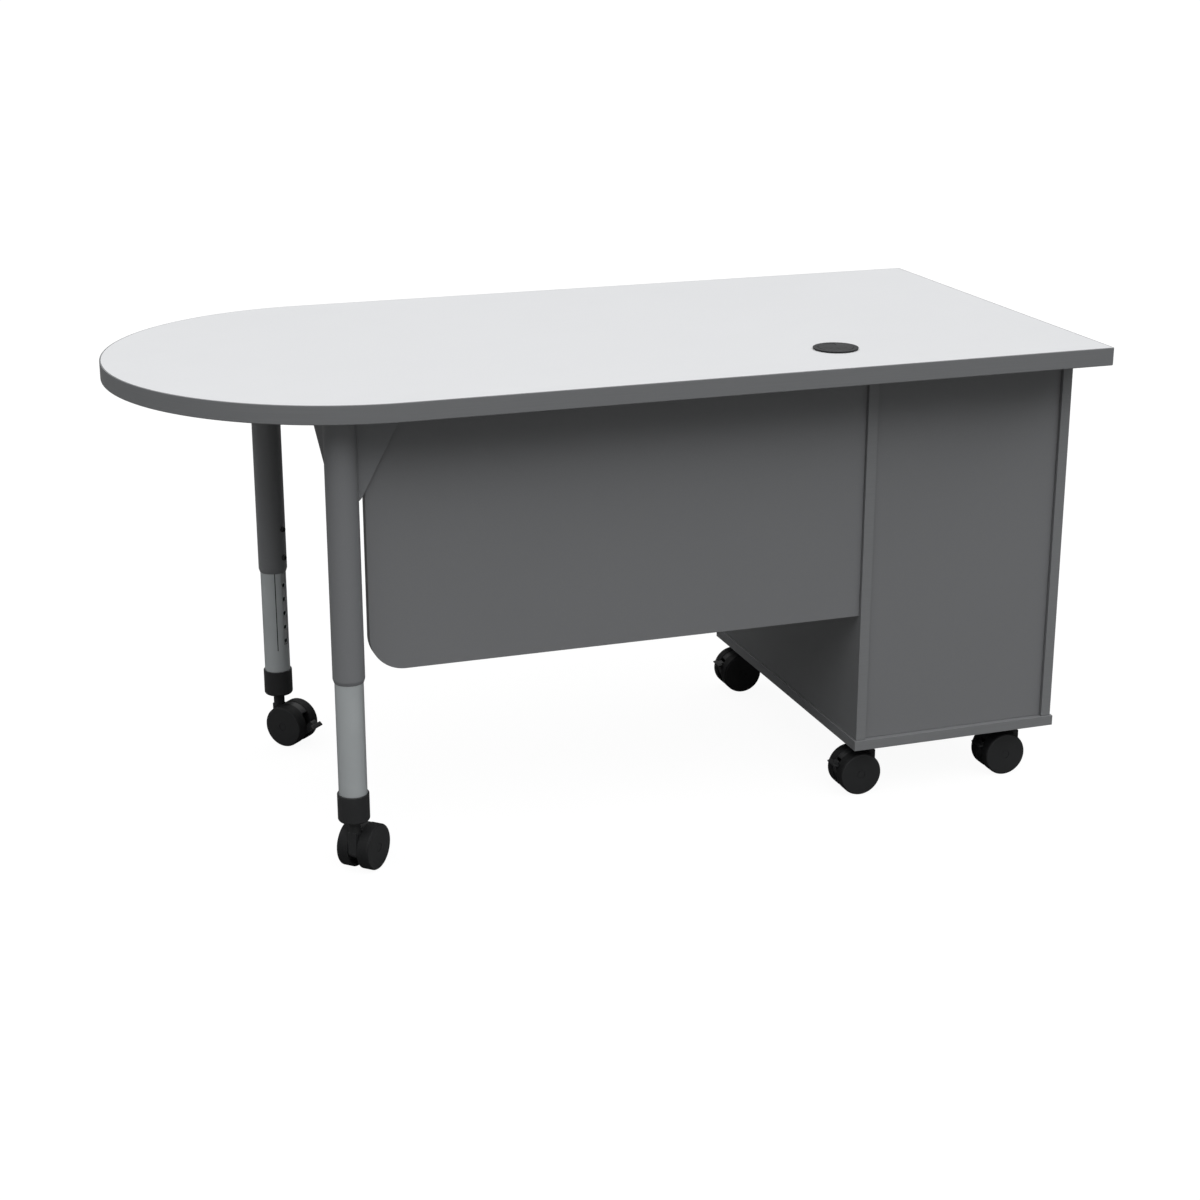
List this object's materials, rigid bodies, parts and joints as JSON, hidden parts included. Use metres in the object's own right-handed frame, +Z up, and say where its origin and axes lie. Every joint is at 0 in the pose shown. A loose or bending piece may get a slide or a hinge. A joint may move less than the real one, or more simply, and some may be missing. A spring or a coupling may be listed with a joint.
{
  "type": "teacher desk",
  "caption": "Mobile desk with a half-round end, height-adjusting legs, a modesty panel, a cable grommet and a drawer pedestal, on twin-wheel casters.",
  "frame": {"origin": "on the floor, under the middle of the worktop", "axes": "+Z up; +X along the worktop towards the drawer pedestal; +Y towards the sitter, where the drawers open"},
  "size_m": [1.524, 0.762, 0.7594],
  "materials": {
    "light_laminate": "smooth light grey laminate on a wood core",
    "grey_edge": "satin dark grey edge band",
    "grey_laminate": "fine-textured dark grey laminate on a wood core",
    "charcoal_paint": "satin charcoal powder coat",
    "bright_steel": "bright plated steel",
    "black_plastic": "moulded black plastic",
    "drawer_board": "pale grey laminated board",
    "zinc_steel": "satin nickel or zinc plating"
  },
  "bodies": {
    "desk": {"edge_band": "grey_edge", "file_cabinet_rail_left": "zinc_steel", "file_cabinet_rail_right": "zinc_steel", "grommet_liner": "black_plastic", "leg_screw_lower_front": "zinc_steel", "leg_screw_lower_rear": "zinc_steel", "leg_screw_upper_front": "zinc_steel", "leg_screw_upper_rear": "zinc_steel", "leg_upper_front": "charcoal_paint", "leg_upper_rear": "charcoal_paint", "middle_cabinet_rail_left": "zinc_steel", "middle_cabinet_rail_right": "zinc_steel", "modesty_panel": "grey_laminate", "pedestal_back": "grey_laminate", "pedestal_base": "grey_laminate", "pedestal_left_side": "grey_laminate", "pedestal_right_side": "grey_laminate", "pedestal_top": "grey_laminate", "top_cabinet_rail_left": "zinc_steel", "top_cabinet_rail_right": "zinc_steel", "worktop": "light_laminate"},
    "drawer_file": {"file_drawer_front": "grey_laminate", "file_drawer_box": "drawer_board", "file_drawer_pull": "zinc_steel", "file_drawer_rail_left": "zinc_steel", "file_drawer_rail_right": "zinc_steel"},
    "drawer_middle": {"middle_drawer_front": "grey_laminate", "middle_drawer_box": "drawer_board", "middle_drawer_pull": "zinc_steel", "middle_drawer_rail_left": "zinc_steel", "middle_drawer_rail_right": "zinc_steel"},
    "drawer_top": {"top_drawer_front": "grey_laminate", "top_drawer_box": "drawer_board", "top_drawer_pull": "zinc_steel", "top_drawer_rail_left": "zinc_steel", "top_drawer_rail_right": "zinc_steel"},
    "lock": {"lock_cylinder": "zinc_steel"},
    "grommet_cap": {"grommet_cap": "black_plastic"},
    "leg_front": {"leg_lower_front": "bright_steel", "leg_cup_front": "black_plastic"},
    "leg_rear": {"leg_lower_rear": "bright_steel", "leg_cup_rear": "black_plastic"},
    "swivel_leg_front": {"leg_front_caster_body": "black_plastic"},
    "wheels_leg_front": {"leg_front_caster_wheels": "black_plastic"},
    "brake_leg_front": {"leg_front_brake_lever": "black_plastic"},
    "swivel_leg_rear": {"leg_rear_caster_body": "black_plastic"},
    "wheels_leg_rear": {"leg_rear_caster_wheels": "black_plastic"},
    "brake_leg_rear": {"leg_rear_brake_lever": "black_plastic"},
    "swivel_pedestal_front_left": {"pedestal_front_left_caster_body": "black_plastic"},
    "wheels_pedestal_front_left": {"pedestal_front_left_caster_wheels": "black_plastic"},
    "brake_pedestal_front_left": {"pedestal_front_left_brake_lever": "black_plastic"},
    "swivel_pedestal_front_right": {"pedestal_front_right_caster_body": "black_plastic"},
    "wheels_pedestal_front_right": {"pedestal_front_right_caster_wheels": "black_plastic"},
    "brake_pedestal_front_right": {"pedestal_front_right_brake_lever": "black_plastic"},
    "swivel_pedestal_rear_left": {"pedestal_rear_left_caster_body": "black_plastic"},
    "wheels_pedestal_rear_left": {"pedestal_rear_left_caster_wheels": "black_plastic"},
    "brake_pedestal_rear_left": {"pedestal_rear_left_brake_lever": "black_plastic"},
    "swivel_pedestal_rear_right": {"pedestal_rear_right_caster_body": "black_plastic"},
    "wheels_pedestal_rear_right": {"pedestal_rear_right_caster_wheels": "black_plastic"},
    "brake_pedestal_rear_right": {"pedestal_rear_right_brake_lever": "black_plastic"}
  },
  "joints": [
    {"name": "grommet_cap_turn", "type": "hinge", "parent": "desk", "child": "grommet_cap", "pos_m": [0.3431, -0.2458, 0.756], "axis": [0, 0, 1], "continuous": true},
    {"name": "file_drawer_slide", "type": "slide", "parent": "desk", "child": "drawer_file", "axis": [0, 1, 0], "range_m": [0, 0.36]},
    {"name": "middle_drawer_slide", "type": "slide", "parent": "desk", "child": "drawer_middle", "axis": [0, 1, 0], "range_m": [0, 0.36]},
    {"name": "top_drawer_slide", "type": "slide", "parent": "desk", "child": "drawer_top", "axis": [0, 1, 0], "range_m": [0, 0.36]},
    {"name": "lock_turn", "type": "hinge", "parent": "drawer_top", "child": "lock", "pos_m": [0.68375, 0.314, 0.7005], "axis": [0, 1, 0], "range_deg": [0, 90]},
    {"name": "leg_front_height", "type": "slide", "parent": "desk", "child": "leg_front", "axis": [0, 0, 1], "range_m": [-0.0508, 0.1524]},
    {"name": "leg_rear_height", "type": "slide", "parent": "desk", "child": "leg_rear", "axis": [0, 0, 1], "range_m": [-0.0508, 0.1524]},
    {"name": "leg_front_swivel", "type": "hinge", "parent": "leg_front", "child": "swivel_leg_front", "pos_m": [-0.462, -0.2915, 0.0365], "axis": [0, 0, 1], "continuous": true},
    {"name": "leg_front_wheel_spin", "type": "hinge", "parent": "swivel_leg_front", "child": "wheels_leg_front", "pos_m": [-0.44461, -0.27285, 0.0365], "axis": [-0.7314, 0.682, 0], "continuous": true},
    {"name": "leg_front_brake_press", "type": "hinge", "parent": "swivel_leg_front", "child": "brake_leg_front", "pos_m": [-0.42961, -0.25676, 0.0215], "axis": [-0.7314, 0.682, 0], "range_deg": [-30, 0]},
    {"name": "leg_rear_swivel", "type": "hinge", "parent": "leg_rear", "child": "swivel_leg_rear", "pos_m": [-0.462, 0.2915, 0.0365], "axis": [0, 0, 1], "continuous": true},
    {"name": "leg_rear_wheel_spin", "type": "hinge", "parent": "swivel_leg_rear", "child": "wheels_leg_rear", "pos_m": [-0.44461, 0.27285, 0.0365], "axis": [0.7314, 0.682, 0], "continuous": true},
    {"name": "leg_rear_brake_press", "type": "hinge", "parent": "swivel_leg_rear", "child": "brake_leg_rear", "pos_m": [-0.42961, 0.25676, 0.0215], "axis": [0.7314, 0.682, 0], "range_deg": [-30, 0]},
    {"name": "pedestal_front_left_swivel", "type": "hinge", "parent": "desk", "child": "swivel_pedestal_front_left", "pos_m": [0.42875, -0.245, 0.0365], "axis": [0, 0, 1], "continuous": true},
    {"name": "pedestal_front_left_wheel_spin", "type": "hinge", "parent": "swivel_pedestal_front_left", "child": "wheels_pedestal_front_left", "pos_m": [0.40325, -0.245, 0.0365], "axis": [0, -1, 0], "continuous": true},
    {"name": "pedestal_front_left_brake_press", "type": "hinge", "parent": "swivel_pedestal_front_left", "child": "brake_pedestal_front_left", "pos_m": [0.38125, -0.245, 0.0215], "axis": [0, -1, 0], "range_deg": [0, 30]},
    {"name": "pedestal_front_right_swivel", "type": "hinge", "parent": "desk", "child": "swivel_pedestal_front_right", "pos_m": [0.69875, -0.245, 0.0365], "axis": [0, 0, 1], "continuous": true},
    {"name": "pedestal_front_right_wheel_spin", "type": "hinge", "parent": "swivel_pedestal_front_right", "child": "wheels_pedestal_front_right", "pos_m": [0.67325, -0.245, 0.0365], "axis": [0, -1, 0], "continuous": true},
    {"name": "pedestal_front_right_brake_press", "type": "hinge", "parent": "swivel_pedestal_front_right", "child": "brake_pedestal_front_right", "pos_m": [0.65125, -0.245, 0.0215], "axis": [0, -1, 0], "range_deg": [0, 30]},
    {"name": "pedestal_rear_left_swivel", "type": "hinge", "parent": "desk", "child": "swivel_pedestal_rear_left", "pos_m": [0.42875, 0.269, 0.0365], "axis": [0, 0, 1], "continuous": true},
    {"name": "pedestal_rear_left_wheel_spin", "type": "hinge", "parent": "swivel_pedestal_rear_left", "child": "wheels_pedestal_rear_left", "pos_m": [0.40325, 0.269, 0.0365], "axis": [0, -1, 0], "continuous": true},
    {"name": "pedestal_rear_left_brake_press", "type": "hinge", "parent": "swivel_pedestal_rear_left", "child": "brake_pedestal_rear_left", "pos_m": [0.38125, 0.269, 0.0215], "axis": [0, -1, 0], "range_deg": [0, 30]},
    {"name": "pedestal_rear_right_swivel", "type": "hinge", "parent": "desk", "child": "swivel_pedestal_rear_right", "pos_m": [0.69875, 0.269, 0.0365], "axis": [0, 0, 1], "continuous": true},
    {"name": "pedestal_rear_right_wheel_spin", "type": "hinge", "parent": "swivel_pedestal_rear_right", "child": "wheels_pedestal_rear_right", "pos_m": [0.67325, 0.269, 0.0365], "axis": [0, -1, 0], "continuous": true},
    {"name": "pedestal_rear_right_brake_press", "type": "hinge", "parent": "swivel_pedestal_rear_right", "child": "brake_pedestal_rear_right", "pos_m": [0.65125, 0.269, 0.0215], "axis": [0, -1, 0], "range_deg": [0, 30]}
  ]
}
